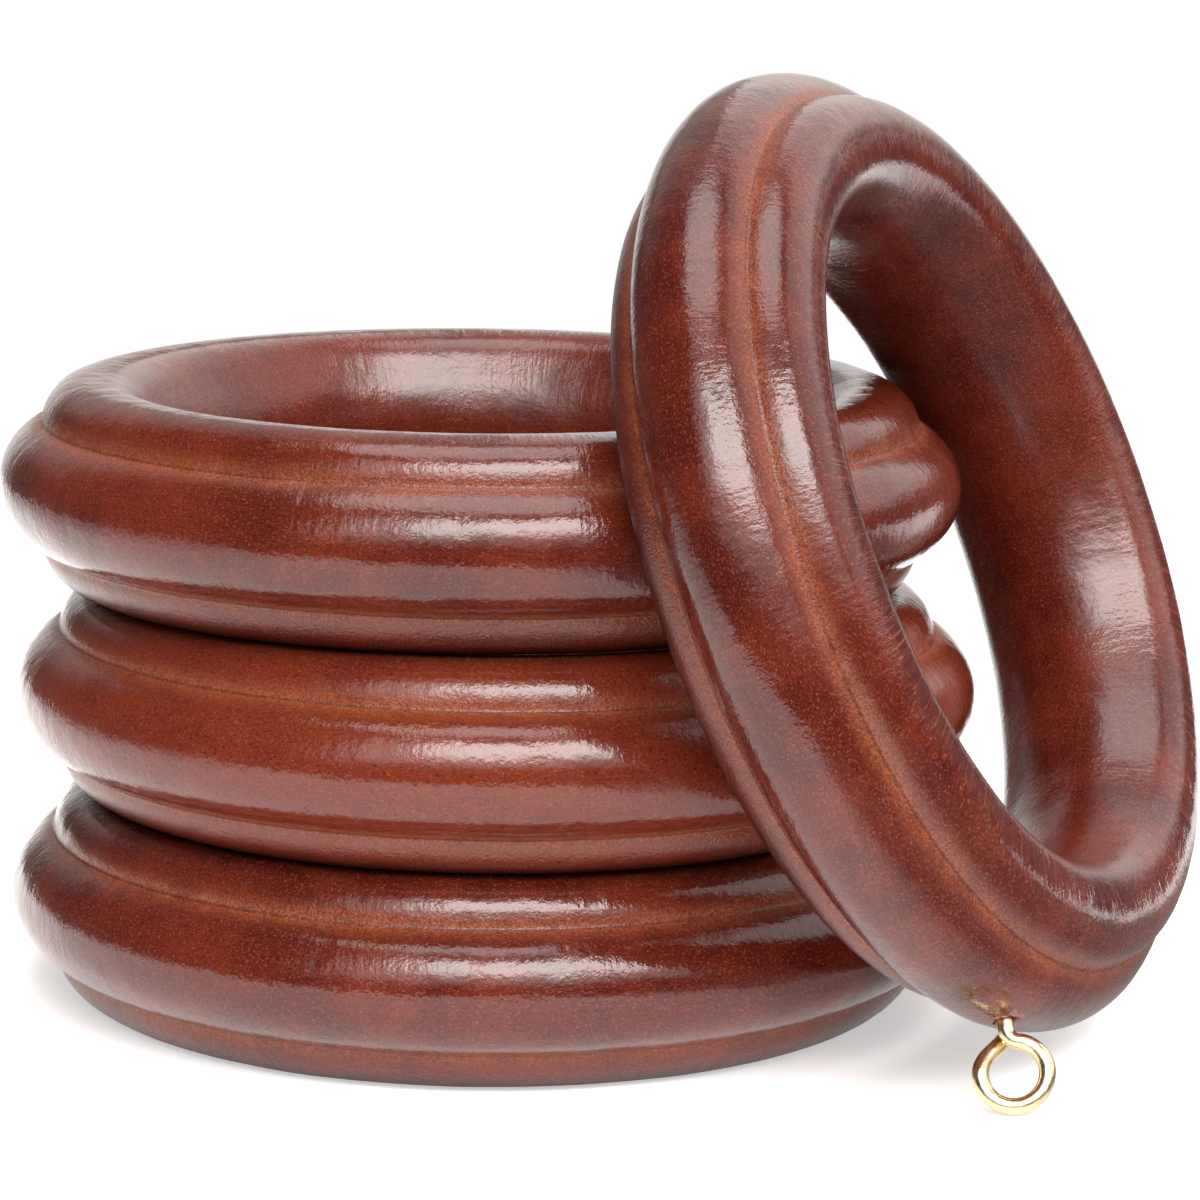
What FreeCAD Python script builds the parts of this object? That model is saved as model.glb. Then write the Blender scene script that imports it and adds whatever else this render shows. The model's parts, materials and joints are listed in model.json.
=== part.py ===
import FreeCAD, Part
import math
import os

import Sketcher

# Four turned wooden curtain pole rings, each with a brass screw eye in its rim.
# Three rings lie flat in a stack and the fourth leans on them, standing on its screw eye.
#
# Row frame: the origin is on the floor at the axis of the bottom ring, +Z is up.
# Ring frame: the origin is the ring's centre, Z is the ring's axis, and the pilot hole
# for the screw eye opens towards +Y.  A screw eye uses the frame of its ring, turned
# about Y by its own twist.

DIMENSIONS = [
    # alias, value in mm or degrees, what it is
    ("outer_radius", 44.45, "ring, axis to the crest of the bead (3 1/2 in across)"),
    ("bore_radius", 28.8, "ring, axis to the narrowest part of the bore"),
    ("thickness", 18.8, "ring, land to land (cut from 3/4 in stock)"),
    ("land_radius", 35.7, "ring, axis to the middle of the flat land on each face"),
    ("land_width", 1.6, "flat land that the ring rests on"),
    ("shoulder_radius", 4.04, "round-over from the land down to the crease"),
    ("bead_radius", 5.9, "section radius of the bead around the rim"),
    ("bore_round_radius", 10.5, "section radius at the middle of the bore"),
    ("mouth_round_radius", 4.0, "round-over from the land into the bore"),
    ("pilot_radius", 0.79, "pilot hole for the screw eye"),
    ("pilot_depth", 11.3, "pilot hole, from the crest of the bead to its full-width end"),
    ("pilot_overrun", 1.0, "pilot hole, how far beyond the rim its cut starts"),
    ("wire_radius", 0.75, "screw eye, brass wire"),
    ("core_radius", 0.5, "screw eye, root of the thread"),
    ("thread_pitch", 0.8, "screw eye, thread"),
    ("thread_length", 7.6, "screw eye, threaded length"),
    ("thread_base", 0.62, "screw eye, width of the thread at its root"),
    ("thread_crest", 0.1, "screw eye, flat along the thread's crest"),
    ("thread_sink", 0.05, "screw eye, how deep the thread's root is sunk into the core"),
    ("tip_radius_place", 33.8, "screw eye, ring axis to the point of the screw"),
    ("tip_length", 1.5, "screw eye, conical point"),
    ("neck_place", 45.28, "screw eye, ring axis to the start of the bend at the neck"),
    ("neck_bend_radius", 1.2, "screw eye, centre line of the bend at the neck"),
    ("loop_radius", 2.85, "screw eye, centre line of the loop"),
    ("loop_end_angle", 153.0, "screw eye, how far past the crown the wire's end reaches"),
    ("middle_shift_x", 0.61, "middle ring, off the bottom ring's axis"),
    ("middle_shift_y", 0.4, "middle ring, off the bottom ring's axis"),
    ("top_shift_x", -1.09, "top ring, off the bottom ring's axis"),
    ("top_shift_y", 1.86, "top ring, off the bottom ring's axis"),
    ("lean_centre_x", 38.4, "leaning ring, centre"),
    ("lean_centre_y", -15.81, "leaning ring, centre"),
    ("lean_centre_z", 44.09, "leaning ring, centre"),
    ("lean_heading", -23.78, "leaning ring, heading of its axis about Z"),
    ("lean_tilt", 67.23, "leaning ring, its axis down from the vertical"),
    ("lean_roll", -115.91, "leaning ring, roll of its screw eye about its axis"),
    ("bottom_eye_heading", 7.0, "bottom ring, its screw eye about Z, from +Y"),
    ("middle_eye_heading", -9.0, "middle ring, its screw eye about Z, from +Y"),
    ("top_eye_heading", 14.0, "top ring, its screw eye about Z, from +Y"),
    ("bottom_eye_twist", 78.0, "bottom screw eye, its loop about its shank"),
    ("middle_eye_twist", 96.0, "middle screw eye, its loop about its shank"),
    ("top_eye_twist", 84.0, "top screw eye, its loop about its shank"),
    ("leaning_eye_twist", -112.0, "leaning screw eye, its loop about its shank"),
]

doc = FreeCAD.newDocument("curtain_pole_rings")
sheet = doc.addObject("Spreadsheet::Sheet", "dims")
for row, (alias, number, meaning) in enumerate(DIMENSIONS, start=1):
    sheet.set(f"A{row}", meaning)
    sheet.set(f"B{row}", str(number))
    sheet.setAlias(f"B{row}", alias)
doc.recompute()


def size(alias):
    """A driving dimension, read from the sheet."""
    return float(sheet.get(alias))


def origin_plane(body, role):
    """One of the body's own origin planes."""
    for feature in body.Origin.OriginFeatures:
        if feature.Role == role:
            return feature
    raise ValueError(role)


def plane_sketch(body, role, name, offset=FreeCAD.Placement()):
    """An empty sketch on one of the body's own origin planes."""
    sketch = body.newObject("Sketcher::SketchObject", name)
    sketch.AttachmentSupport = (origin_plane(body, role), [""])
    sketch.MapMode = "FlatFace"
    sketch.AttachmentOffset = offset
    return sketch


def bind(sketch, kind, *where, name, formula):
    """Adds a dimension to the sketch and drives it from the sheet."""
    index = sketch.addConstraint(Sketcher.Constraint(kind, *where))
    sketch.renameConstraint(index, name)
    sketch.setExpression(f"Constraints.{name}", formula)


def point(x, y):
    return FreeCAD.Vector(x, y, 0)


def arc(centre, radius, start, end):
    """A circular arc in the sketch plane, counter-clockwise from start to end in radians."""
    circle = Part.Circle(centre, FreeCAD.Vector(0, 0, 1), radius)
    return Part.ArcOfCircle(circle, start, end)


def ring_section_places():
    """Centres and angles of the arcs that make the ring's section."""
    half = size("thickness") / 2
    land_in = size("land_radius") - size("land_width") / 2
    land_out = size("land_radius") + size("land_width") / 2
    shoulder = point(land_out, half - size("shoulder_radius"))
    bead = point(size("outer_radius") - size("bead_radius"), 0)
    bore = point(size("bore_radius") + size("bore_round_radius"), 0)
    mouth = point(land_in, half - size("mouth_round_radius"))

    # The crease is where the shoulder's circle meets the bead's circle.
    gap = bead - shoulder
    along = (size("shoulder_radius") ** 2 - size("bead_radius") ** 2 + gap.Length ** 2) / (2 * gap.Length)
    across = math.sqrt(size("shoulder_radius") ** 2 - along ** 2)
    unit = gap / gap.Length
    crease = shoulder + unit * along + point(-unit.y, unit.x) * across

    # The flank of the bore is the line that touches the bore's and the mouth's circles.
    reach = mouth - bore
    turn = (size("bore_round_radius") - size("mouth_round_radius")) / reach.Length
    flank = math.atan2(reach.x, reach.y) + math.asin(turn)
    return half, land_in, land_out, shoulder, bead, bore, mouth, crease, flank


def draw_ring_section(sketch):
    """Half of the ring's cross-section: lands, shoulders, bead and rounded bore."""
    half, land_in, land_out, shoulder, bead, bore, mouth, crease, flank = ring_section_places()
    crease_on_shoulder = math.atan2(crease.y - shoulder.y, crease.x - shoulder.x)
    crease_on_bead = math.atan2(crease.y - bead.y, crease.x - bead.x)
    below_shoulder = point(shoulder.x, -shoulder.y)
    below_mouth = point(mouth.x, -mouth.y)
    out = point(-math.cos(flank), math.sin(flank))
    flank_at_bore = bore + out * size("bore_round_radius")
    flank_at_mouth = mouth + out * size("mouth_round_radius")
    quarter = math.pi / 2
    geometry = [
        Part.LineSegment(point(land_in, half), point(land_out, half)),
        arc(shoulder, size("shoulder_radius"), crease_on_shoulder, quarter),
        arc(bead, size("bead_radius"), -crease_on_bead, crease_on_bead),
        arc(below_shoulder, size("shoulder_radius"), -quarter, -crease_on_shoulder),
        Part.LineSegment(point(land_out, -half), point(land_in, -half)),
        arc(below_mouth, size("mouth_round_radius"), math.pi + flank, 3 * quarter),
        Part.LineSegment(
            point(flank_at_mouth.x, -flank_at_mouth.y),
            point(flank_at_bore.x, -flank_at_bore.y),
        ),
        arc(bore, size("bore_round_radius"), math.pi - flank, math.pi + flank),
        Part.LineSegment(flank_at_bore, flank_at_mouth),
        arc(mouth, size("mouth_round_radius"), quarter, math.pi - flank),
    ]
    (land_top, shoulder_top, bead_arc, shoulder_low, land_low,
     mouth_low, flank_low, bore_arc, flank_top, mouth_top) = sketch.addGeometry(geometry)
    start, end, middle = 1, 2, 3
    origin = (-1, 1)
    horizontal_axis = -1

    for joined in [
        (land_top, end, shoulder_top, end),
        (shoulder_low, start, land_low, start),
        (land_low, end, mouth_low, end),
        (mouth_low, start, flank_low, start),
        (flank_low, end, bore_arc, end),
        (bore_arc, start, flank_top, start),
        (flank_top, end, mouth_top, end),
        (mouth_top, start, land_top, start),
    ]:
        sketch.addConstraint(Sketcher.Constraint("Tangent", *joined))
    sketch.addConstraint(Sketcher.Constraint("Coincident", shoulder_top, start, bead_arc, end))
    sketch.addConstraint(Sketcher.Constraint("Coincident", bead_arc, start, shoulder_low, end))
    sketch.addConstraint(Sketcher.Constraint("Horizontal", land_top))
    sketch.addConstraint(Sketcher.Constraint("Horizontal", land_low))
    sketch.addConstraint(Sketcher.Constraint("PointOnObject", bead_arc, middle, horizontal_axis))
    sketch.addConstraint(Sketcher.Constraint("PointOnObject", bore_arc, middle, horizontal_axis))
    sketch.addConstraint(Sketcher.Constraint("Vertical", bead_arc, start, bead_arc, end))
    sketch.addConstraint(
        Sketcher.Constraint("Symmetric", land_top, end, land_low, start, horizontal_axis))
    sketch.addConstraint(Sketcher.Constraint("Vertical", land_top, start, land_low, end))
    sketch.addConstraint(Sketcher.Constraint("Equal", mouth_top, mouth_low))

    bind(sketch, "DistanceX", *origin, land_top, start, land_in,
         name="land_inner_edge", formula="dims.land_radius - dims.land_width / 2")
    bind(sketch, "DistanceX", land_top, start, land_top, end, land_out - land_in,
         name="land_width", formula="dims.land_width")
    bind(sketch, "DistanceY", *origin, land_top, start, half,
         name="half_thickness", formula="dims.thickness / 2")
    bind(sketch, "Radius", shoulder_top, size("shoulder_radius"),
         name="shoulder_radius", formula="dims.shoulder_radius")
    bind(sketch, "Radius", bead_arc, size("bead_radius"),
         name="bead_radius", formula="dims.bead_radius")
    bind(sketch, "DistanceX", *origin, bead_arc, middle, bead.x,
         name="bead_centre", formula="dims.outer_radius - dims.bead_radius")
    bind(sketch, "Radius", bore_arc, size("bore_round_radius"),
         name="bore_round_radius", formula="dims.bore_round_radius")
    bind(sketch, "DistanceX", *origin, bore_arc, middle, bore.x,
         name="bore_centre", formula="dims.bore_radius + dims.bore_round_radius")
    bind(sketch, "Radius", mouth_top, size("mouth_round_radius"),
         name="mouth_round_radius", formula="dims.mouth_round_radius")


def draw_pilot_section(sketch):
    """Half of the drilled hole: a rectangle from beyond the rim, ending in the drill's point."""
    bottom = size("outer_radius") - size("pilot_depth")
    radius = size("pilot_radius")
    beyond = size("outer_radius") + size("pilot_overrun")
    point_length = radius / 2
    corners = [
        point(bottom - point_length, 0),
        point(beyond, 0),
        point(beyond, radius),
        point(bottom, radius),
    ]
    axis, mouth, wall, drill_point = sketch.addGeometry(
        [Part.LineSegment(a, b) for a, b in zip(corners, corners[1:] + corners[:1])])
    edges = [axis, mouth, wall, drill_point]
    for edge, following in zip(edges, edges[1:] + edges[:1]):
        sketch.addConstraint(Sketcher.Constraint("Coincident", edge, 2, following, 1))
    sketch.addConstraint(Sketcher.Constraint("Horizontal", axis))
    sketch.addConstraint(Sketcher.Constraint("Vertical", mouth))
    sketch.addConstraint(Sketcher.Constraint("Horizontal", wall))
    sketch.addConstraint(Sketcher.Constraint("PointOnObject", axis, 1, -1))
    bind(sketch, "DistanceX", -1, 1, wall, 2, bottom,
         name="full_width_end", formula="dims.outer_radius - dims.pilot_depth")
    bind(sketch, "DistanceX", -1, 1, axis, 2, beyond,
         name="beyond_rim", formula="dims.outer_radius + dims.pilot_overrun")
    bind(sketch, "DistanceY", mouth, 1, mouth, 2, radius,
         name="pilot_radius", formula="dims.pilot_radius")
    bind(sketch, "DistanceX", axis, 1, wall, 2, point_length,
         name="drill_point", formula="dims.pilot_radius / 2")


def turned_ring(name):
    """One ring: its section turned about Z, then drilled from the rim for the screw eye."""
    body = doc.addObject("PartDesign::Body", name)
    body.Label = name
    section = plane_sketch(body, "XZ_Plane", f"{name}_section")
    draw_ring_section(section)
    turning = body.newObject("PartDesign::Revolution", f"{name}_turning")
    turning.Profile = section
    turning.ReferenceAxis = (section, ["V_Axis"])
    turning.Angle = 360
    section.Visibility = False
    doc.recompute()
    blank_volume = turning.Shape.Volume

    drilling = plane_sketch(body, "YZ_Plane", f"{name}_pilot_section")
    draw_pilot_section(drilling)
    pilot = body.newObject("PartDesign::Groove", f"{name}_pilot_hole")
    pilot.Profile = drilling
    pilot.ReferenceAxis = (drilling, ["H_Axis"])
    pilot.Angle = 360
    drilling.Visibility = False
    doc.recompute()
    if not pilot.Shape.Volume < blank_volume - 20:
        raise RuntimeError(f"{name}: the pilot hole cut nothing")
    return body


def draw_core_section(sketch):
    """Half of the threaded shank's core, with its conical point, along +Y."""
    tip = size("tip_radius_place")
    end = tip + size("tip_length") + size("thread_length")
    radius = size("core_radius")
    corners = [
        point(0, tip),
        point(radius, tip + size("tip_length")),
        point(radius, end),
        point(0, end),
    ]
    cone, side, top, axis = sketch.addGeometry(
        [Part.LineSegment(a, b) for a, b in zip(corners, corners[1:] + corners[:1])])
    edges = [cone, side, top, axis]
    for edge, following in zip(edges, edges[1:] + edges[:1]):
        sketch.addConstraint(Sketcher.Constraint("Coincident", edge, 2, following, 1))
    sketch.addConstraint(Sketcher.Constraint("Vertical", side))
    sketch.addConstraint(Sketcher.Constraint("Horizontal", top))
    sketch.addConstraint(Sketcher.Constraint("Vertical", axis))
    sketch.addConstraint(Sketcher.Constraint("PointOnObject", cone, 1, -2))
    bind(sketch, "DistanceY", -1, 1, cone, 1, tip, name="tip_place", formula="dims.tip_radius_place")
    bind(sketch, "DistanceX", -1, 1, side, 1, radius, name="core_radius", formula="dims.core_radius")
    bind(sketch, "DistanceY", cone, 1, cone, 2, size("tip_length"),
         name="tip_length", formula="dims.tip_length")
    bind(sketch, "DistanceY", side, 1, side, 2, size("thread_length"),
         name="thread_length", formula="dims.thread_length")


def wire_path_places():
    """The start of the plain wire, and the centres of the bend at the neck and of the loop."""
    start_of_wire = size("tip_radius_place") + size("tip_length") + size("thread_length")
    neck = size("neck_place")
    bend = size("neck_bend_radius")
    loop = size("loop_radius")
    rise = math.sqrt(loop ** 2 + 2 * loop * bend)
    return start_of_wire, point(bend, neck), point(0, neck + rise)


def draw_wire_path(sketch):
    """Centre line of the plain shank, the bend at the neck and the loop, in one plane."""
    start_of_wire, bend_centre, loop_centre = wire_path_places()
    bend = size("neck_bend_radius")
    loop = size("loop_radius")
    between = loop_centre - bend_centre
    join = math.atan2(between.y, between.x)
    # The loop runs from the join, counter-clockwise past the crown, to just short of the neck.
    loop_start = join - math.pi
    crown = math.pi / 2
    loop_end = crown + math.radians(size("loop_end_angle"))
    shank, neck_arc, loop_arc = sketch.addGeometry([
        Part.LineSegment(point(0, start_of_wire), point(0, bend_centre.y)),
        arc(bend_centre, bend, join, math.pi),
        arc(loop_centre, loop, loop_start, loop_end),
    ])
    start, end, middle = 1, 2, 3
    vertical_axis = -2
    origin = (-1, 1)
    sketch.addConstraint(Sketcher.Constraint("PointOnObject", shank, start, vertical_axis))
    sketch.addConstraint(Sketcher.Constraint("Vertical", shank))
    sketch.addConstraint(Sketcher.Constraint("Tangent", shank, end, neck_arc, end))
    sketch.addConstraint(Sketcher.Constraint("Tangent", neck_arc, start, loop_arc, start))
    sketch.addConstraint(Sketcher.Constraint("PointOnObject", loop_arc, middle, vertical_axis))
    bind(sketch, "DistanceY", *origin, shank, start, start_of_wire,
         name="start_of_wire",
         formula="dims.tip_radius_place + dims.tip_length + dims.thread_length")
    bind(sketch, "DistanceY", *origin, shank, end, bend_centre.y,
         name="neck", formula="dims.neck_place")
    bind(sketch, "Radius", neck_arc, bend, name="neck_bend", formula="dims.neck_bend_radius")
    bind(sketch, "Radius", loop_arc, loop, name="loop_radius", formula="dims.loop_radius")
    end_x = loop_centre.x + loop * math.cos(loop_end)
    bind(sketch, "DistanceX", loop_arc, end, *origin, -end_x,
         name="wire_end", formula="dims.loop_radius * sin(dims.loop_end_angle * 1 deg)")


def screw_eye(name):
    """One screw eye: a threaded, pointed core and a plain wire bent into a loop."""
    body = doc.addObject("PartDesign::Body", name)
    body.Label = name
    core_section = plane_sketch(body, "XY_Plane", f"{name}_core_section")
    draw_core_section(core_section)
    core = body.newObject("PartDesign::Revolution", f"{name}_core")
    core.Profile = core_section
    core.ReferenceAxis = (core_section, ["V_Axis"])
    core.Angle = 360
    core_section.Visibility = False
    doc.recompute()

    path = plane_sketch(body, "XY_Plane", f"{name}_wire_path")
    draw_wire_path(path)
    start_of_wire = wire_path_places()[0]
    across = plane_sketch(body, "XZ_Plane", f"{name}_wire_section",
                          FreeCAD.Placement(FreeCAD.Vector(0, 0, -start_of_wire), FreeCAD.Rotation()))
    across.setExpression(
        "AttachmentOffset.Base.z",
        "-(dims.tip_radius_place + dims.tip_length + dims.thread_length)")
    wire_circle = across.addGeometry(Part.Circle(point(0, 0), FreeCAD.Vector(0, 0, 1), size("wire_radius")))
    across.addConstraint(Sketcher.Constraint("Coincident", wire_circle, 3, -1, 1))
    bind(across, "Radius", wire_circle, size("wire_radius"), name="wire_radius", formula="dims.wire_radius")
    doc.recompute()
    wire = body.newObject("PartDesign::AdditivePipe", f"{name}_wire")
    wire.Profile = across
    wire.Spine = path
    path.Visibility = False
    across.Visibility = False
    doc.recompute()

    thread_section = plane_sketch(body, "XY_Plane", f"{name}_thread_section")
    draw_thread_section(thread_section)
    thread = body.newObject("PartDesign::AdditiveHelix", f"{name}_thread")
    thread.Profile = thread_section
    thread.ReferenceAxis = (thread_section, ["V_Axis"])
    thread.Mode = 0
    thread.Pitch = size("thread_pitch")
    thread.Height = size("thread_length") - size("thread_pitch")
    thread.setExpression("Pitch", "dims.thread_pitch")
    thread.setExpression("Height", "dims.thread_length - dims.thread_pitch")
    thread_section.Visibility = False
    doc.recompute()
    return body


def draw_thread_section(sketch):
    """The thread's V, standing on the core, at the tip end of the shank."""
    first = size("tip_radius_place") + size("tip_length")
    root = size("core_radius") - size("thread_sink")
    crest = size("wire_radius")
    base = size("thread_base")
    crest_flat = size("thread_crest")
    flank_rise = (base - crest_flat) / 2
    corners = [
        point(root, first),
        point(crest, first + flank_rise),
        point(crest, first + flank_rise + crest_flat),
        point(root, first + base),
    ]
    low_flank, crest_line, high_flank, root_line = sketch.addGeometry(
        [Part.LineSegment(a, b) for a, b in zip(corners, corners[1:] + corners[:1])])
    edges = [low_flank, crest_line, high_flank, root_line]
    for edge, following in zip(edges, edges[1:] + edges[:1]):
        sketch.addConstraint(Sketcher.Constraint("Coincident", edge, 2, following, 1))
    sketch.addConstraint(Sketcher.Constraint("Vertical", crest_line))
    sketch.addConstraint(Sketcher.Constraint("Vertical", root_line))
    bind(sketch, "DistanceX", -1, 1, low_flank, 1, root,
         name="root", formula="dims.core_radius - dims.thread_sink")
    bind(sketch, "DistanceX", -1, 1, crest_line, 1, crest,
         name="crest", formula="dims.wire_radius")
    bind(sketch, "DistanceY", -1, 1, low_flank, 1, first,
         name="first_turn", formula="dims.tip_radius_place + dims.tip_length")
    bind(sketch, "DistanceY", low_flank, 1, root_line, 1, base,
         name="base", formula="dims.thread_base")
    bind(sketch, "DistanceY", crest_line, 1, crest_line, 2, crest_flat,
         name="crest_flat", formula="dims.thread_crest")
    bind(sketch, "DistanceY", low_flank, 1, low_flank, 2, flank_rise,
         name="flank_rise", formula="(dims.thread_base - dims.thread_crest) / 2")


def about(axis, degrees):
    return FreeCAD.Rotation(axis, degrees)


Y_AXIS = FreeCAD.Vector(0, 1, 0)
Z_AXIS = FreeCAD.Vector(0, 0, 1)


def stack_place(level, shift_x, shift_y, heading):
    """Where a stacked ring goes: level 0 stands on the floor."""
    height = size("thickness") * (level + 0.5)
    return FreeCAD.Placement(FreeCAD.Vector(shift_x, shift_y, height), about(Z_AXIS, heading))


def leaning_place():
    """The leaning ring: its axis is tipped down from the vertical, then turned about Z."""
    centre = FreeCAD.Vector(size("lean_centre_x"), size("lean_centre_y"), size("lean_centre_z"))
    turned = about(Z_AXIS, size("lean_heading")) * about(Y_AXIS, size("lean_tilt"))
    return FreeCAD.Placement(centre, turned * about(Z_AXIS, size("lean_roll")))


PLACES = {
    "bottom": stack_place(0, 0, 0, size("bottom_eye_heading")),
    "middle": stack_place(1, size("middle_shift_x"), size("middle_shift_y"), size("middle_eye_heading")),
    "top": stack_place(2, size("top_shift_x"), size("top_shift_y"), size("top_eye_heading")),
    "leaning": leaning_place(),
}

sub_parts = []
for which, place in PLACES.items():
    ring = turned_ring(f"{which}_ring")
    ring.Placement = place
    eye = screw_eye(f"{which}_screw_eye")
    twist = FreeCAD.Placement(FreeCAD.Vector(), about(Y_AXIS, size(f"{which}_eye_twist")))
    eye.Placement = place * twist
    sub_parts += [ring, eye]
doc.recompute()

for thing in doc.Objects:
    if "Invalid" in thing.State or "Error" in thing.State:
        raise RuntimeError(f"{thing.Name}: {thing.State}")
for part in sub_parts:
    if part.Shape.isNull() or not part.Shape.isValid() or len(part.Shape.Solids) != 1:
        raise RuntimeError(f"{part.Label}: not one valid solid")

os.makedirs("parts", exist_ok=True)
for part in sub_parts:
    part.Shape.exportStep(f"parts/{part.Label}.step")
    print(part.Label, round(part.Shape.Volume, 1), "mm3")
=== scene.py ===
import json
import math

import bpy
import numpy as np
from mathutils import Matrix, Vector


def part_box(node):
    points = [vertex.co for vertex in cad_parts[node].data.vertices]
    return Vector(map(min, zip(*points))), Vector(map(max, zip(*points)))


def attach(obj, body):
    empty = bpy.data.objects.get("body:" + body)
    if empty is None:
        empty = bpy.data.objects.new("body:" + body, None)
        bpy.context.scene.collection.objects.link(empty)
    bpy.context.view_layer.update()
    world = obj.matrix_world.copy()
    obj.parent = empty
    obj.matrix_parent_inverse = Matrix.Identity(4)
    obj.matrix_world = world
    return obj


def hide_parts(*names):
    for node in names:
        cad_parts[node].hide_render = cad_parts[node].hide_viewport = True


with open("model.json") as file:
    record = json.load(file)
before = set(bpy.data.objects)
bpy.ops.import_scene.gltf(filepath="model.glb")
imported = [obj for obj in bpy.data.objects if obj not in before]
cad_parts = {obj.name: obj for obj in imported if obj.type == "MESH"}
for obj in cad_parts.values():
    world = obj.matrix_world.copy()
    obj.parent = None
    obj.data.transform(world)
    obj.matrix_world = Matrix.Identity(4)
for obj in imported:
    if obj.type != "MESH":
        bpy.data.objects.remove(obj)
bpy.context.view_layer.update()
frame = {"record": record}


MM = 0.001
RINGS = ("bottom", "middle", "top", "leaning")
MOUNTS = {mount["name"]: mount for mount in frame["record"]["mounts"]}

# The ring's section and the screw eye, in mm, as the CAD part has them.
OUTER, BORE, HALF = 44.45, 28.8, 9.4
LAND_IN, LAND_OUT = 34.9, 36.5
SHOULDER_R, BEAD_R, BORE_R, MOUTH_R = 4.04, 5.9, 10.5, 4.0
PILOT_R = 0.79
WIRE_R, CORE_R, PITCH = 0.75, 0.5, 0.8
TIP, TIP_LENGTH, THREAD_LENGTH = 33.8, 1.5, 7.6
NECK, BEND_R, LOOP_R = 45.28, 1.2, 2.85

# What the finer meshes add, in mm: eased and scored creases, a chipped hole and a tucked wire end.
SECTION_STEP = 0.04
CREASE_EASE, CREASE_WIDTH = 0.24, 1.1
SCORE_DEPTH, SCORE_WIDTH = 0.03, 0.2
SET_BACK = 0.035
HOLE_EDGE, PIT_DEPTH, LIP_HEIGHT, LIP_WIDTH = 1.04, 2.2, 0.1, 0.2
TAIL_LENGTH, TAIL_LIFT, LIFT_LENGTH = 2.45, 1.5, 4.8
CUT_ROUND = 0.22

# The radius at which texture coordinates run round a ring, and a distance that is far from its hole, in mm.
MEAN_R, FAR_FROM_HOLE = 36, 99.0


# ---------------------------------------------------------------- places

def columns(x, y, z, place):
    """A matrix from three axes and a place."""
    m = Matrix.Identity(4)
    for i, v in enumerate((x, y, z, place)):
        m.col[i][0:3] = v
    return m


def ring_place(which):
    """The ring's own frame: Z is its axis and +Y goes through its screw eye."""
    low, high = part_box(f"{which}_ring")
    centre = Vector(MOUNTS[f"{which}_ring_pole_passage"]["pos_m"])
    if which == "bottom":
        centre.z = (low.z + high.z) / 2
    axis = Vector(MOUNTS[f"{which}_ring_pole_passage"]["axis"]).normalized()
    to_eye = Vector(MOUNTS[f"{which}_hook_eye"]["pos_m"]) - centre
    y = (to_eye - axis * to_eye.dot(axis)).normalized()
    return columns(y.cross(axis), y, axis, centre)


def eye_place(which):
    """The screw eye's frame: +Y along its shank from the ring's centre, Z across its loop."""
    ring = ring_place(which)
    y = ring.col[1].to_3d()
    normal = Vector(MOUNTS[f"{which}_hook_eye"]["axis"])
    z = (normal - y * normal.dot(y)).normalized()
    return columns(y.cross(z), y, z, ring.col[3].to_3d())


# ---------------------------------------------------------------- meshes

def arc(centre, radius, start, end, step=0.03):
    n = max(3, int(abs(end - start) * radius / step))
    t = np.linspace(start, end, n)
    return np.c_[centre[0] + radius * np.cos(t), centre[1] + radius * np.sin(t)]


def upper_section():
    """The upper half of the ring's section, from the crest of the bead to the middle of the bore."""
    shoulder = np.array([LAND_OUT, HALF - SHOULDER_R])
    bead = np.array([OUTER - BEAD_R, 0.0])
    bore = np.array([BORE + BORE_R, 0.0])
    mouth = np.array([LAND_IN, HALF - MOUTH_R])
    gap = bead - shoulder
    reach = np.hypot(*gap)
    along = (SHOULDER_R ** 2 - BEAD_R ** 2 + reach ** 2) / (2 * reach)
    across = math.sqrt(SHOULDER_R ** 2 - along ** 2)
    unit = gap / reach
    crease = shoulder + unit * along + np.array([-unit[1], unit[0]]) * across
    lean = mouth - bore
    flank = math.atan2(lean[0], lean[1]) + math.asin((BORE_R - MOUTH_R) / np.hypot(*lean))
    on_bead = math.atan2(crease[1] - bead[1], crease[0] - bead[0])
    on_shoulder = math.atan2(crease[1] - shoulder[1], crease[0] - shoulder[0])
    parts = [
        arc(bead, BEAD_R, 0, on_bead),
        arc(shoulder, SHOULDER_R, on_shoulder, math.pi / 2),
        arc(mouth, MOUTH_R, math.pi / 2, math.pi - flank),
        arc(bore, BORE_R, math.pi - flank, math.pi),
    ]
    return np.concatenate(parts), crease


def walk(line):
    """Distance along a line of points."""
    return np.r_[0, np.cumsum(np.hypot(*np.diff(line, axis=0).T))]


def along_line(line, where):
    s = walk(line)
    return np.c_[[np.interp(where, s, c) for c in line.T]].T


def soften(line, sigma, step):
    """Rounds the corners of a closed, evenly spaced line."""
    n = int(4 * sigma / step)
    kernel = np.exp(-0.5 * (np.arange(-n, n + 1) * step / sigma) ** 2)
    kernel /= kernel.sum()
    padded = np.concatenate([line[-n:], line, line[:n]])
    return np.c_[[np.convolve(c, kernel, mode="valid") for c in padded.T]].T


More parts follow.
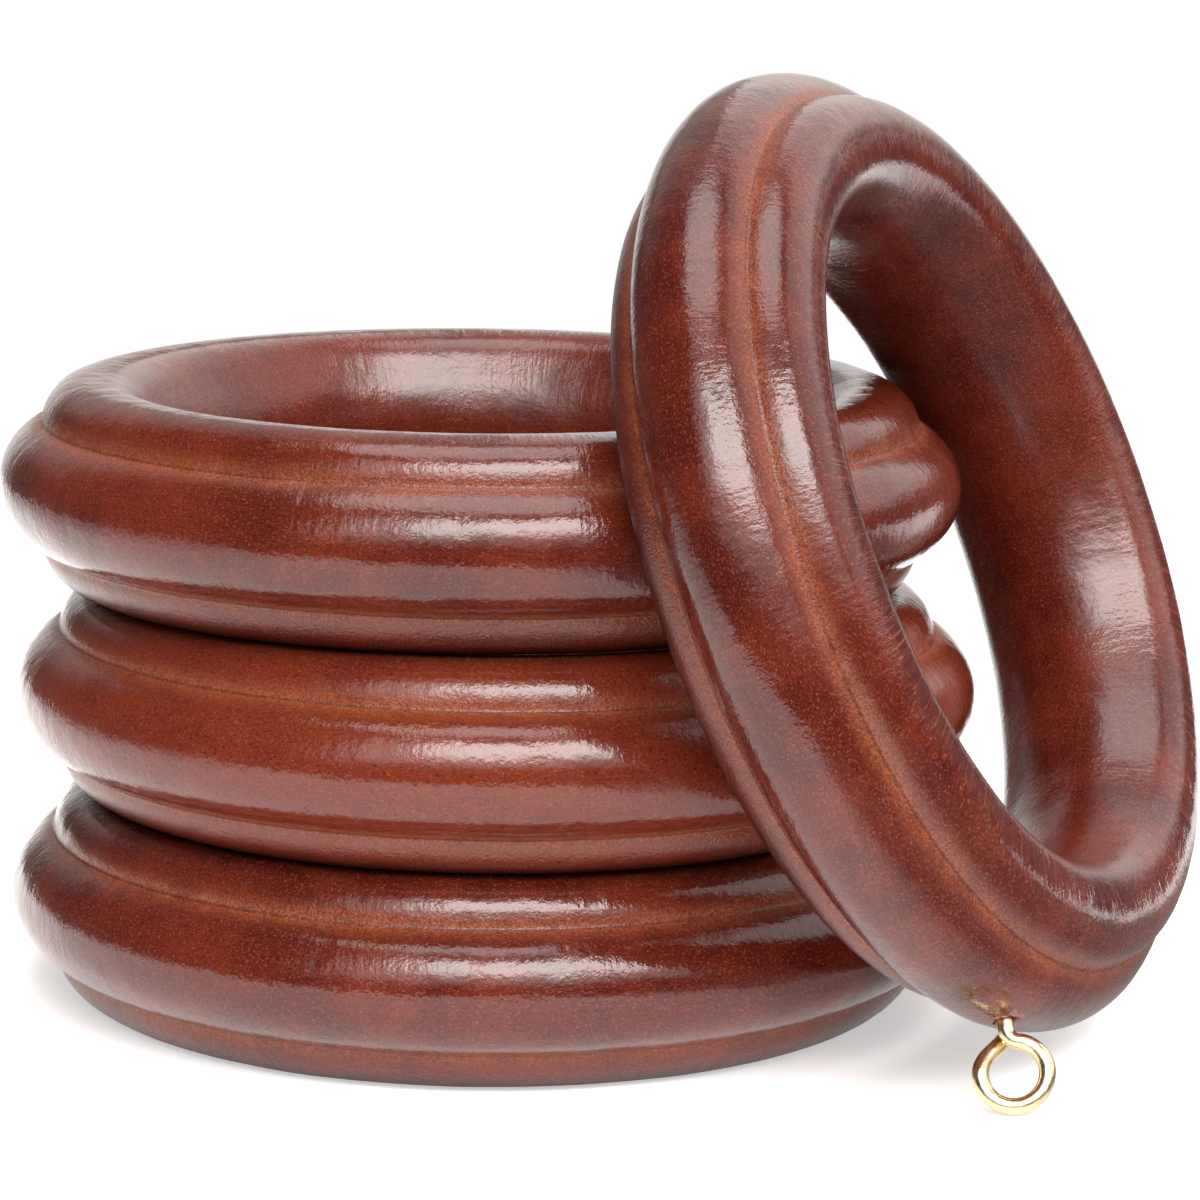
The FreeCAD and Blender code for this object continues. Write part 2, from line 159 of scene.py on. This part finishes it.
def ring_section():
    """The closed section with eased creases, its outward normals, and the distances from a crease."""
    half, crease = upper_section()
    closed = np.concatenate([half, half[::-1] * [1, -1]])
    step = SECTION_STEP
    length = walk(closed)[-1]
    even = along_line(closed, np.arange(0, length, step))
    smooth = soften(even, CREASE_EASE, step)
    # A scored line runs along the bottom of each crease, under the lacquer.
    forward = np.roll(smooth, -1, 0) - np.roll(smooth, 1, 0)
    normal = np.c_[forward[:, 1], -forward[:, 0]]
    normal /= np.hypot(*normal.T)[:, None]
    off = np.minimum(np.hypot(*(smooth - crease).T), np.hypot(*(smooth - crease * [1, -1]).T))
    smooth = smooth - normal * (SCORE_DEPTH * np.exp(-(off / SCORE_WIDTH) ** 2))[:, None]
    # The mesh's rows stand closer together at the creases, and at the crest where the hole is.
    near_crease = off < 0.9
    near_hole = (np.abs(smooth[:, 1]) < 2.1) & (smooth[:, 0] > OUTER - 1)
    at_crease, at_hole, elsewhere = 0.11, 0.17, 0.5
    spacing = np.where(near_crease, at_crease, np.where(near_hole, at_hole, elsewhere))
    picked = [0]
    travelled = 0.0
    for i in range(1, len(smooth)):
        travelled += step
        if travelled >= spacing[i]:
            picked.append(i)
            travelled = 0.0
    picked = np.array(picked)
    return smooth[picked], normal[picked], off[picked]


def around_angles():
    """Angles round the ring, closer together beside the screw eye's hole at +Y."""
    hole_half = 3.0 / OUTER
    fine_count, rest_count = 50, 330
    fine = np.linspace(-hole_half, hole_half, fine_count, endpoint=False)
    rest = np.linspace(hole_half, 2 * math.pi - hole_half, rest_count, endpoint=False)
    return np.concatenate([fine, rest]) + math.pi / 2


def waves(points, seed, length, count=9):
    """A smooth random field over points, mostly between -1 and 1, with waves of about that length."""
    rng = np.random.default_rng(seed)
    total = np.zeros(len(points))
    for _ in range(count):
        direction = rng.normal(size=3)
        direction /= np.linalg.norm(direction)
        total += np.sin(points @ direction * (2 * math.pi / (length * rng.uniform(0.7, 1.5)))
                        + rng.uniform(0, 2 * math.pi))
    return total / math.sqrt(count)


def mesh_object(name, points, faces, place, attributes):
    mesh = bpy.data.meshes.new(name)
    mesh.vertices.add(len(points))
    mesh.vertices.foreach_set("co", np.asarray(points, np.float32).ravel() * MM)
    mesh.loops.add(faces.size)
    mesh.loops.foreach_set("vertex_index", faces.astype(np.int32).ravel())
    mesh.polygons.add(len(faces))
    mesh.polygons.foreach_set("loop_start", np.arange(0, faces.size, 4, dtype=np.int32))
    for key, values in attributes.items():
        values = np.asarray(values, np.float32)
        kind, field = ("FLOAT_VECTOR", "vector") if values.ndim == 2 else ("FLOAT", "value")
        mesh.attributes.new(key, kind, "POINT").data.foreach_set(field, values.ravel())
    mesh.update(calc_edges=True)
    mesh.validate()
    mesh.polygons.foreach_set("use_smooth", np.ones(len(mesh.polygons), bool))
    mesh.transform(place)
    obj = bpy.data.objects.new(name, mesh)
    bpy.context.scene.collection.objects.link(obj)
    return obj


def turned_ring(which, seed):
    """A ring turned on the lathe, slightly uneven by hand, with the hole for its screw eye."""
    section, normal, off = ring_section()
    angles = around_angles()
    m, n = len(angles), len(section)
    cos, sin = np.cos(angles)[:, None], np.sin(angles)[:, None]

    def revolve(r, z):
        return np.stack([r * cos, r * sin, z + 0 * cos], -1).reshape(-1, 3)

    points = revolve(section[:, 0], section[:, 1])
    out = revolve(normal[:, 0], normal[:, 1])
    local = points.copy()
    around = revolve(MEAN_R + 0 * section[:, 1], section[:, 1])
    radius = np.tile(section[:, 0], m)
    crease = np.tile(np.exp(-(off / CREASE_WIDTH) ** 2), m)
    # Sanding leaves the surface a few hundredths of a millimetre uneven. It is set back by as much, so
    # that it stays within its size, but the flat lands aren't, because the rings rest on them.
    uneven = 0.016 * waves(points, seed, 11) + 0.008 * waves(points, seed + 1, 4.5)
    flat = np.tile(np.abs(section[:, 1]) > HALF - 0.02, m)
    depth = np.where(flat, 0.0, SET_BACK - uneven)
    # The hole's edge is chipped, and the finish round it has lifted a little.
    hole = np.hypot(points[:, 0], points[:, 2])
    turn = np.arctan2(points[:, 2], points[:, 0])
    edge = (HOLE_EDGE + 0.08 * np.sin(3 * turn + seed) + 0.07 * np.sin(5 * turn + 2 * seed)
            + 0.05 * np.sin(9 * turn))
    at_hole = (points[:, 1] > 0) & (radius > OUTER - 1.5)
    hole = np.where(at_hole, hole, FAR_FROM_HOLE)
    pit = PIT_DEPTH * np.clip((edge + 0.02 - hole) / (edge - PILOT_R), 0, 1) ** 1.3
    lip = (LIP_HEIGHT * np.exp(-((hole - edge - 0.25) / LIP_WIDTH) ** 2)
           * (0.6 + 0.4 * np.sin(4 * turn + seed)))
    points -= out * (depth - np.minimum(lip, depth))[:, None]
    points[:, 1] -= pit
    i = np.arange(m)[:, None] * n
    j = np.arange(n)[None, :]
    i2, j2 = np.roll(i, -1, 0), np.roll(j, -1, 1)
    faces = np.stack([i + j, i + j2, i2 + j2, i2 + j], -1).reshape(-1, 4)[:, ::-1]
    attributes = {"local": local, "around": around, "radius": radius, "crease": crease, "hole": hole}
    return mesh_object(f"{which}_turned_ring", points, faces, ring_place(which), attributes)


def wire_line(tail_side):
    """The wire's centre line from the screw's point to the cut end, and the distance along it."""
    rise = math.sqrt(LOOP_R ** 2 + 2 * LOOP_R * BEND_R)
    bend, loop = np.array([BEND_R, NECK]), np.array([0.0, NECK + rise])
    join = math.atan2(*(loop - bend)[::-1])
    shank = np.c_[np.zeros(180), np.linspace(TIP, NECK, 180)]
    neck = arc(bend, BEND_R, math.pi, join, 0.12)[1:]
    leave = math.radians(229)
    ring = arc(loop, LOOP_R, join - math.pi, leave, 0.16)[1:]
    heading = np.array([-math.sin(leave), math.cos(leave)])
    tail = ring[-1] + heading * np.linspace(0.15, TAIL_LENGTH, 16)[:, None]
    flat = np.concatenate([shank, neck, ring, tail])
    s = walk(flat)
    # The wire's end is tucked beside the neck, out of the loop's plane.
    lift_from = s[-1] - LIFT_LENGTH
    lift = np.clip((s - lift_from) / (s[-1] - lift_from), 0, 1)
    line = np.c_[flat, tail_side * TAIL_LIFT * lift ** 2 * (3 - 2 * lift)]
    return line, s


def screw_eye(which, seed, tail_side):
    """A threaded brass screw eye, bent from one drawn wire with a cut end."""
    line, s = wire_line(tail_side)
    sides = 32
    tangent = np.gradient(line, axis=0)
    tangent /= np.linalg.norm(tangent, axis=1)[:, None]
    across = np.zeros_like(line)
    across[0] = (1.0, 0.0, 0.0)
    for k in range(1, len(line)):
        v = across[k - 1] - tangent[k] * (across[k - 1] @ tangent[k])
        across[k] = v / np.linalg.norm(v)
    third = np.cross(tangent, across)
    angle = np.linspace(0, 2 * math.pi, sides, endpoint=False)
    # A helical thread starts behind the point and runs out into the bare wire.
    up_shank = line[:, 1][:, None] + 0 * angle
    threaded = (s < TIP_LENGTH + THREAD_LENGTH)[:, None]
    phase = ((up_shank - TIP) / PITCH + angle / (2 * math.pi)) % 1
    ridge = np.clip(1 - np.abs(phase - 0.5) / 0.4, 0, 1)
    thread = CORE_R + (WIRE_R - CORE_R) * ridge * np.clip((s - TIP_LENGTH)[:, None] / 0.6, 0, 1)
    run_out = np.clip((s - TIP_LENGTH - THREAD_LENGTH + 0.7)[:, None] / 0.7, 0, 1)
    radius = np.where(threaded, thread + (WIRE_R - thread) * run_out, WIRE_R)
    radius = np.minimum(radius, 0.05 + s[:, None] * (CORE_R / TIP_LENGTH) + 10 * (s[:, None] > TIP_LENGTH))
    # The cut end is slightly rounded.
    to_end = (s[-1] - s)[:, None]
    radius = radius - CUT_ROUND * np.clip(1 - to_end / CUT_ROUND, 0, 1) ** 2
    points = (line[:, None] + across[:, None] * (radius * np.cos(angle))[..., None]
              + third[:, None] * (radius * np.sin(angle))[..., None]).reshape(-1, 3)
    # The wire is slightly dented, and set back like the wood.
    dents = waves(points, seed, 2.6) * 0.012
    centre = np.repeat(line, sides, axis=0)
    outward = points - centre
    outward /= np.linalg.norm(outward, axis=1)[:, None] + 1e-9
    points -= outward * np.clip(0.015 + dents, 0, 1)[:, None]
    m = len(line)
    i = np.arange(m - 1)[:, None] * sides
    j = np.arange(sides)[None, :]
    j2 = np.roll(j, -1, 1)
    faces = np.stack([i + j, i + sides + j, i + sides + j2, i + j2], -1).reshape(-1, 4)[:, ::-1]
    # Each end is closed with four-sided faces across it.
    half = sides // 2
    caps = []
    for start, flip in ((0, False), ((m - 1) * sides, True)):
        for k in range(half - 1):
            quad = [start + k, start + k + 1, start + sides - k - 2, start + sides - k - 1]
            caps.append(quad[::-1] if flip else quad)
    faces = np.concatenate([faces, np.array(caps)[:, ::-1]])
    # The drawing lines' coordinates go round the wire, and change slowly along it.
    along = np.repeat(s, sides)
    turn = np.tile(angle, m)
    drawn = np.stack([np.cos(turn), np.sin(turn), along * 0.04], -1)
    attributes = {"local": points, "drawn": drawn}
    return mesh_object(f"{which}_brass_eye", points, faces, eye_place(which), attributes)


# ---------------------------------------------------------------- materials

# Colours of the wood, in linear light.
DEEP_STAIN = (0.05, 0.0042, 0.0025)
WARM_STAIN = (0.135, 0.0185, 0.0068)
PALE_FLECK = (0.25, 0.06, 0.023)
# The darkest colour serves the pores, the scored lines and the painted shade by each ring's lower face.
DARK_PORE_AND_PAINTED_SHADE = (0.015, 0.002, 0.0015)
RUBBED_CREASE = (0.32, 0.09, 0.037)
BARE_WOOD = (0.34, 0.13, 0.085)

# Colours of the brass, in linear light.
BRASS = (0.90, 0.72, 0.42)
PALE_BRASS = (0.96, 0.85, 0.58)
TARNISH = (0.42, 0.25, 0.10)


class Graph:
    """Builds a material's nodes in few words."""

    def __init__(self, name):
        self.material = bpy.data.materials.new(name)
        self.material.use_nodes = True
        self.tree = self.material.node_tree
        self.shader = self.tree.nodes["Principled BSDF"]

    def put(self, socket, value):
        if isinstance(value, bpy.types.NodeSocket):
            self.tree.links.new(value, socket)
        else:
            socket.default_value = value

    def node(self, kind, inputs, output=0, **settings):
        node = self.tree.nodes.new(kind)
        for key, value in settings.items():
            setattr(node, key, value)
        for key, value in inputs.items():
            self.put(node.inputs[key], value)
        return node.outputs[output]

    def attribute(self, name, output="Fac"):
        return self.node("ShaderNodeAttribute", {}, output, attribute_name=name)

    def maths(self, operation, a, b=0.0, clamp=False):
        return self.node("ShaderNodeMath", {0: a, 1: b}, operation=operation, use_clamp=clamp)

    def stretched(self, vector, scale):
        return self.node("ShaderNodeVectorMath", {0: vector, 1: scale}, operation="MULTIPLY")

    def noise(self, vector, scale, detail=2.0, rough=0.5, w=None):
        inputs = {"Vector": vector, "Scale": scale, "Detail": detail, "Roughness": rough}
        if w is None:
            return self.node("ShaderNodeTexNoise", inputs)
        inputs["W"] = w
        return self.node("ShaderNodeTexNoise", inputs, noise_dimensions="4D")

    def ramp(self, value, low, high, to_low=0.0, to_high=1.0):
        return self.node("ShaderNodeMapRange", {0: value, 1: low, 2: high, 3: to_low, 4: to_high},
                         interpolation_type="SMOOTHSTEP")

    def mix(self, factor, a, b):
        node = self.tree.nodes.new("ShaderNodeMix")
        node.data_type = "RGBA"
        self.put(node.inputs[0], factor)
        for socket, value in ((node.inputs[6], a), (node.inputs[7], b)):
            self.put(socket, value if isinstance(value, bpy.types.NodeSocket) else (*value, 1.0))
        return node.outputs[2]

    def principled(self, **inputs):
        for key, value in inputs.items():
            self.put(self.shader.inputs[key.replace("_", " ")], value)


def stained_wood(name, seed, warmth):
    """Red-brown stain in turned wood under a gloss lacquer that follows the tool's ripples."""
    g = Graph(name)
    shift = (seed * 7.3, seed * 3.1, seed * 5.7)
    local = g.node("ShaderNodeVectorMath", {0: g.attribute("local", "Vector"), 1: shift}, operation="ADD")
    around = g.node("ShaderNodeVectorMath", {0: g.attribute("around", "Vector"), 1: shift}, operation="ADD")
    crease = g.attribute("crease")
    hole = g.attribute("hole")
    radius = g.attribute("radius")

    cloud = g.noise(local, 0.11, 3.0, 0.55)
    streak = g.noise(g.stretched(around, (0.5, 0.5, 3.2)), 0.8, 3.0, 0.6)
    fleck = g.noise(g.stretched(around, (2.2, 2.2, 3.4)), 2.1, 2.0, 0.7)
    pore = g.noise(g.stretched(local, (2.4, 4.4, 4.4)), 1.0, 1.0, 0.5)
    worn = g.maths("MULTIPLY", crease, g.ramp(g.noise(local, 0.35, 2.0), 0.3, 0.6, 0.6, 1.0))

    # Stain: a cloudy red-brown, lighter along the grain, with pale flecks and dark pores.
    tone = g.maths("ADD", g.ramp(cloud, 0.3, 0.7, -0.05, 0.55), warmth, clamp=True)
    tone = g.maths("ADD", tone, g.ramp(streak, 0.4, 0.75, 0.0, 0.28), clamp=True)
    colour = g.mix(tone, DEEP_STAIN, WARM_STAIN)
    colour = g.mix(g.ramp(fleck, 0.52, 0.72, 0.0, 0.75), colour, PALE_FLECK)
    colour = g.mix(g.ramp(pore, 0.3, 0.42, 0.5, 0.0), colour, DARK_PORE_AND_PAINTED_SHADE)
    # The creases are rubbed orange, with a dark scored line; painted shade darkens the outside by the lower
    # face.
    grit = g.noise(local, 4.5, 1.0)
    colour = g.mix(g.maths("MULTIPLY", worn, g.ramp(grit, 0.35, 0.65, 0.25, 0.8)), colour, RUBBED_CREASE)
    scored = g.ramp(crease, 0.96, 1.0, 0.0, 0.5)
    height_on_ring = g.node("ShaderNodeSeparateXYZ", {0: g.attribute("local", "Vector")}, "Z")
    outside = g.ramp(radius, 35.5, 37.5)
    # Painted shade: this mask darkens the outside nearest the lower face; it also thins the lacquer there.
    under = g.maths("MULTIPLY", g.ramp(height_on_ring, -9.3, -7.2, 0.9, 0.0), outside)
    unpolished = g.maths("MULTIPLY", g.ramp(height_on_ring, -6.2, -4.8, 1.0, 0.0), outside)
    # The scored line and the painted shade by the lower face are mixed towards the darkest colour.
    colour = g.mix(g.maths("MAXIMUM", scored, under), colour, DARK_PORE_AND_PAINTED_SHADE)
    # The finish is gone in a ragged patch round the screw eye's hole.
    ragged = g.ramp(g.noise(local, 1.9, 3.0, 0.7), 0.3, 0.7, -0.8, 0.8)
    bare = g.ramp(g.maths("ADD", hole, ragged), 1.1, 1.9, 0.8, 0.0)
    colour = g.mix(g.maths("MULTIPLY", bare, g.ramp(grit, 0.3, 0.6, 0.35, 1.0)), colour, BARE_WOOD)

    # Relief in mm: the tool's ripples, orange peel, a slow swell, rough creases and lifted finish.
    patches = g.ramp(g.noise(local, 0.22, 2.0), 0.35, 0.65, 0.35, 1.0)
    across = g.maths("MULTIPLY", radius, 0.22)
    ripple = g.noise(g.stretched(around, (2.1, 2.1, 0.22)), 1.0, 2.0, 0.55, w=across)
    ripple = g.maths("MULTIPLY", ripple, g.maths("MULTIPLY", patches, 0.045))
    peel = g.maths("MULTIPLY", g.noise(local, 2.5, 2.0, 0.6), g.ramp(patches, 0.35, 1.0, 0.022, 0.045))
    swell = g.maths("MULTIPLY", g.noise(local, 0.42, 2.0, 0.5), 0.07)
    coarse = g.maths("MAXIMUM", worn, g.maths("MULTIPLY", unpolished, 0.9))
    rough_crease = g.maths("MULTIPLY", g.maths("MULTIPLY", grit, coarse), 0.06)
    lifted = g.maths("MULTIPLY", g.maths("MULTIPLY", g.noise(local, 2.2, 3.0, 0.7), bare), 0.16)
    fine = g.maths("ADD", ripple, peel)
    broad = g.maths("ADD", g.maths("ADD", swell, rough_crease), lifted)
    height = g.maths("ADD", fine, broad)
    normal = g.node("ShaderNodeBump", {"Strength": 1.0, "Distance": MM, "Height": height})

    # The lacquer is thin by the lower face and in the creases, and dull in the bore and on coarse wood.
    no_coat = g.maths("MAXIMUM", g.maths("MULTIPLY", under, 0.9), g.maths("MULTIPLY", worn, 0.35))
    dull = g.maths("MULTIPLY", coarse, 0.24)
    g.principled(
        Base_Color=colour,
        Roughness=g.ramp(worn, 0.0, 1.0, 0.42, 0.6),
        Specular_IOR_Level=0.05,
        Normal=normal,
        Coat_Weight=g.maths("SUBTRACT", 1.0, no_coat),
        Coat_Roughness=g.maths("ADD", g.ramp(radius, 31.0, 36.0, 0.22, 0.075), dull),
        Coat_IOR=1.52,
        Coat_Normal=normal,
    )
    return g.material


def drawn_brass(name, seed):
    """Bright brass wire with drawing lines, small dents and a little tarnish."""
    g = Graph(name)
    local = g.attribute("local", "Vector")
    drawn = g.attribute("drawn", "Vector")
    lines = g.noise(g.stretched(drawn, (9.0, 9.0, 1.0)), 1.6, 3.0, 0.65)
    cloud = g.noise(local, 0.8, 3.0, 0.6)
    speck = g.noise(local, 7.0, 2.0, 0.6)
    colour = g.mix(g.ramp(cloud, 0.35, 0.7), BRASS, PALE_BRASS)
    colour = g.mix(g.ramp(speck, 0.62, 0.78, 0.0, 0.5), colour, TARNISH)
    drawing = g.maths("MULTIPLY", lines, 0.008)
    dents = g.maths("MULTIPLY", g.noise(local, 1.7, 2.0), 0.03)
    height = g.maths("ADD", drawing, dents)
    g.principled(
        Base_Color=colour,
        Metallic=1.0,
        Roughness=g.ramp(cloud, 0.3, 0.7, 0.12, 0.24),
        Normal=g.node("ShaderNodeBump", {"Strength": 1.0, "Distance": MM, "Height": height}),
    )
    return g.material


# ---------------------------------------------------------------- the object

# How far each ring's stain leans to the warmer colour, and the side on which each eye's cut end lies.
WARMTH = {"bottom": 0.12, "middle": 0.72, "top": 0.2, "leaning": 0.05}
TAIL_SIDE = {"bottom": 1, "middle": -1, "top": 1, "leaning": 1}

for index, which in enumerate(RINGS):
    ring = turned_ring(which, 11 + index)
    ring.data.materials.append(stained_wood(f"{which}_stained_wood", index + 1, WARMTH[which]))
    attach(ring, f"{which}_ring")
    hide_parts(f"{which}_ring")
    eye = screw_eye(which, 31 + index, TAIL_SIDE[which])
    eye.data.materials.append(drawn_brass(f"{which}_drawn_brass", index + 1))
    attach(eye, f"{which}_screw_eye")
    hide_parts(f"{which}_screw_eye")


# ---------------------------------------------------------------- studio

# Sizes in metres, and greys in linear light.
FLOOR_LEFT, FLOOR_RIGHT, FLOOR_FRONT, FLOOR_BACK = -0.5, 0.5, -0.19, 0.4
FLOOR_GREY = (0.86, 0.86, 0.86)
FLOOR_GREY_DIM = (0.12, 0.12, 0.12)
FLOOR_GLOW = 0.5


def floor():
    """A pale floor that glows a little and so stays nearly white."""
    mesh = bpy.data.meshes.new("studio_floor")
    corners = [(FLOOR_LEFT, FLOOR_FRONT, 0), (FLOOR_RIGHT, FLOOR_FRONT, 0),
               (FLOOR_RIGHT, FLOOR_BACK, 0), (FLOOR_LEFT, FLOOR_BACK, 0)]
    mesh.from_pydata(corners, [], [(0, 1, 2, 3)])
    obj = bpy.data.objects.new("studio_floor", mesh)
    bpy.context.scene.collection.objects.link(obj)
    # Reflections see the floor dim in front to the right, as beside a dark card, and less bright far to
    # the left.
    g = Graph("pale_floor")
    place = g.node("ShaderNodeNewGeometry", {}, "Position")
    split = g.node("ShaderNodeSeparateXYZ", {0: place}, "X").node
    x, y = split.outputs["X"], split.outputs["Y"]
    lit = g.maths("MAXIMUM", g.ramp(x, 0.03, 0.07, 1.0, 0.0), g.ramp(y, 0.03, 0.1, 0.0, 1.0))
    lit = g.maths("MULTIPLY", lit, g.ramp(x, -0.3, -0.08, 0.35, 1.0))
    not_reflected = g.maths("SUBTRACT", 1.0, g.node("ShaderNodeLightPath", {}, "Is Glossy Ray"))
    lit = g.maths("MAXIMUM", lit, not_reflected)
    g.principled(
        Base_Color=g.mix(lit, FLOOR_GREY_DIM, FLOOR_GREY),
        Roughness=0.6,
        Specular_IOR_Level=0.2,
        Emission_Color=(1.0, 1.0, 1.0, 1.0),
        Emission_Strength=g.maths("MULTIPLY", lit, FLOOR_GLOW),
    )
    mesh.materials.append(g.material)


DIM_SKY = 0.08
SKY_COLOUR = (1.0, 0.975, 0.95, 1.0)

# Each light's radiance, then its edges by azimuth and by elevation, in degrees: where it starts, where it
# is full, where it is full no more and where it ends. Edges past the sphere's own ends cut nothing off.
LIGHTS = (
    (2.4, (-50, -28, 54, 64), (8, 34, 56, 66)),
    (9.2, (-28, -8, 44, 56), (28, 42, 54, 61)),
    (3.8, (-400, -300, 300, 400), (64, 76, 200, 300)),
    (1.35, (58, 76, 200, 300), (6, 20, 52, 66)),
    (0.4, (-300, -200, -155, -120), (10, 22, 60, 80)),
    (0.85, (145, 160, 200, 300), (-40, -25, 6, 16)),
    (0.85, (-300, -200, -162, -148), (-40, -25, 6, 16)),
)


def surroundings():
    """A bright soft window in front, a lamp overhead, and dimmer light on the right and behind.

    The camera itself sees plain white.
    """
    world = bpy.data.worlds.new("studio")
    bpy.context.scene.world = world
    world.use_nodes = True
    tree = world.node_tree
    tree.nodes.clear()

    def node(kind, inputs, output=0, **settings):
        made = tree.nodes.new(kind)
        for key, value in settings.items():
            setattr(made, key, value)
        for key, value in inputs.items():
            if isinstance(value, bpy.types.NodeSocket):
                tree.links.new(value, made.inputs[key])
            else:
                made.inputs[key].default_value = value
        return made.outputs[output]

    def maths(operation, a, b=0.0):
        return node("ShaderNodeMath", {0: a, 1: b}, operation=operation)

    def rise(value, low, high):
        return node("ShaderNodeMapRange", {0: value, 1: low, 2: high}, interpolation_type="SMOOTHSTEP")

    def window(value, edges):
        """1 between the middle two edges, falling smoothly to 0 at the outer two."""
        return maths("MULTIPLY", rise(value, edges[0], edges[1]), rise(value, edges[3], edges[2]))

    direction = node("ShaderNodeTexCoord", {}, "Generated")
    split = node("ShaderNodeSeparateXYZ", {0: direction}, "X").node
    x, y, z = split.outputs
    # Azimuth is 0 towards the viewer and 90 degrees to the right.
    azimuth = maths("MULTIPLY", maths("ARCTAN2", x, maths("MULTIPLY", y, -1.0)), 180 / math.pi)
    elevation = maths("MULTIPLY", maths("ARCSINE", z), 180 / math.pi)
    total = DIM_SKY
    for radiance, around, up in LIGHTS:
        glow = maths("MULTIPLY", window(azimuth, around), window(elevation, up))
        total = maths("ADD", maths("MULTIPLY", glow, radiance), total)
    studio = node("ShaderNodeBackground", {"Color": SKY_COLOUR, "Strength": total})
    white = node("ShaderNodeBackground", {"Color": (1, 1, 1, 1), "Strength": 1.0})
    seen = node("ShaderNodeLightPath", {}, "Is Camera Ray")
    shown = node("ShaderNodeMixShader", {0: seen, 1: studio, 2: white})
    node_out = tree.nodes.new("ShaderNodeOutputWorld")
    tree.links.new(shown, node_out.inputs["Surface"])


# The sensor and the lens in mm, the camera's place in metres and its turns in radians.
SENSOR, LENS = 36, 135.05
CAMERA_PLACE = (0.00584, -0.41095, 0.11271)
PAN, TILT, ROLL = 0.0103, 0.1846, 0.0141


def camera():
    """A long lens from the front, looking down a little."""
    data = bpy.data.cameras.new("camera")
    data.sensor_width = SENSOR
    data.lens = LENS
    obj = bpy.data.objects.new("camera", data)
    forward = Vector((math.sin(PAN) * math.cos(TILT), math.cos(PAN) * math.cos(TILT), -math.sin(TILT)))
    right = forward.cross(Vector((0, 0, 1))).normalized()
    up = right.cross(forward)
    obj.matrix_world = columns(math.cos(ROLL) * right + math.sin(ROLL) * up,
                               math.cos(ROLL) * up - math.sin(ROLL) * right,
                               -forward, Vector(CAMERA_PLACE))
    bpy.context.scene.collection.objects.link(obj)
    bpy.context.scene.camera = obj


floor()
surroundings()
camera()
bpy.context.scene.view_settings.view_transform = "Standard"
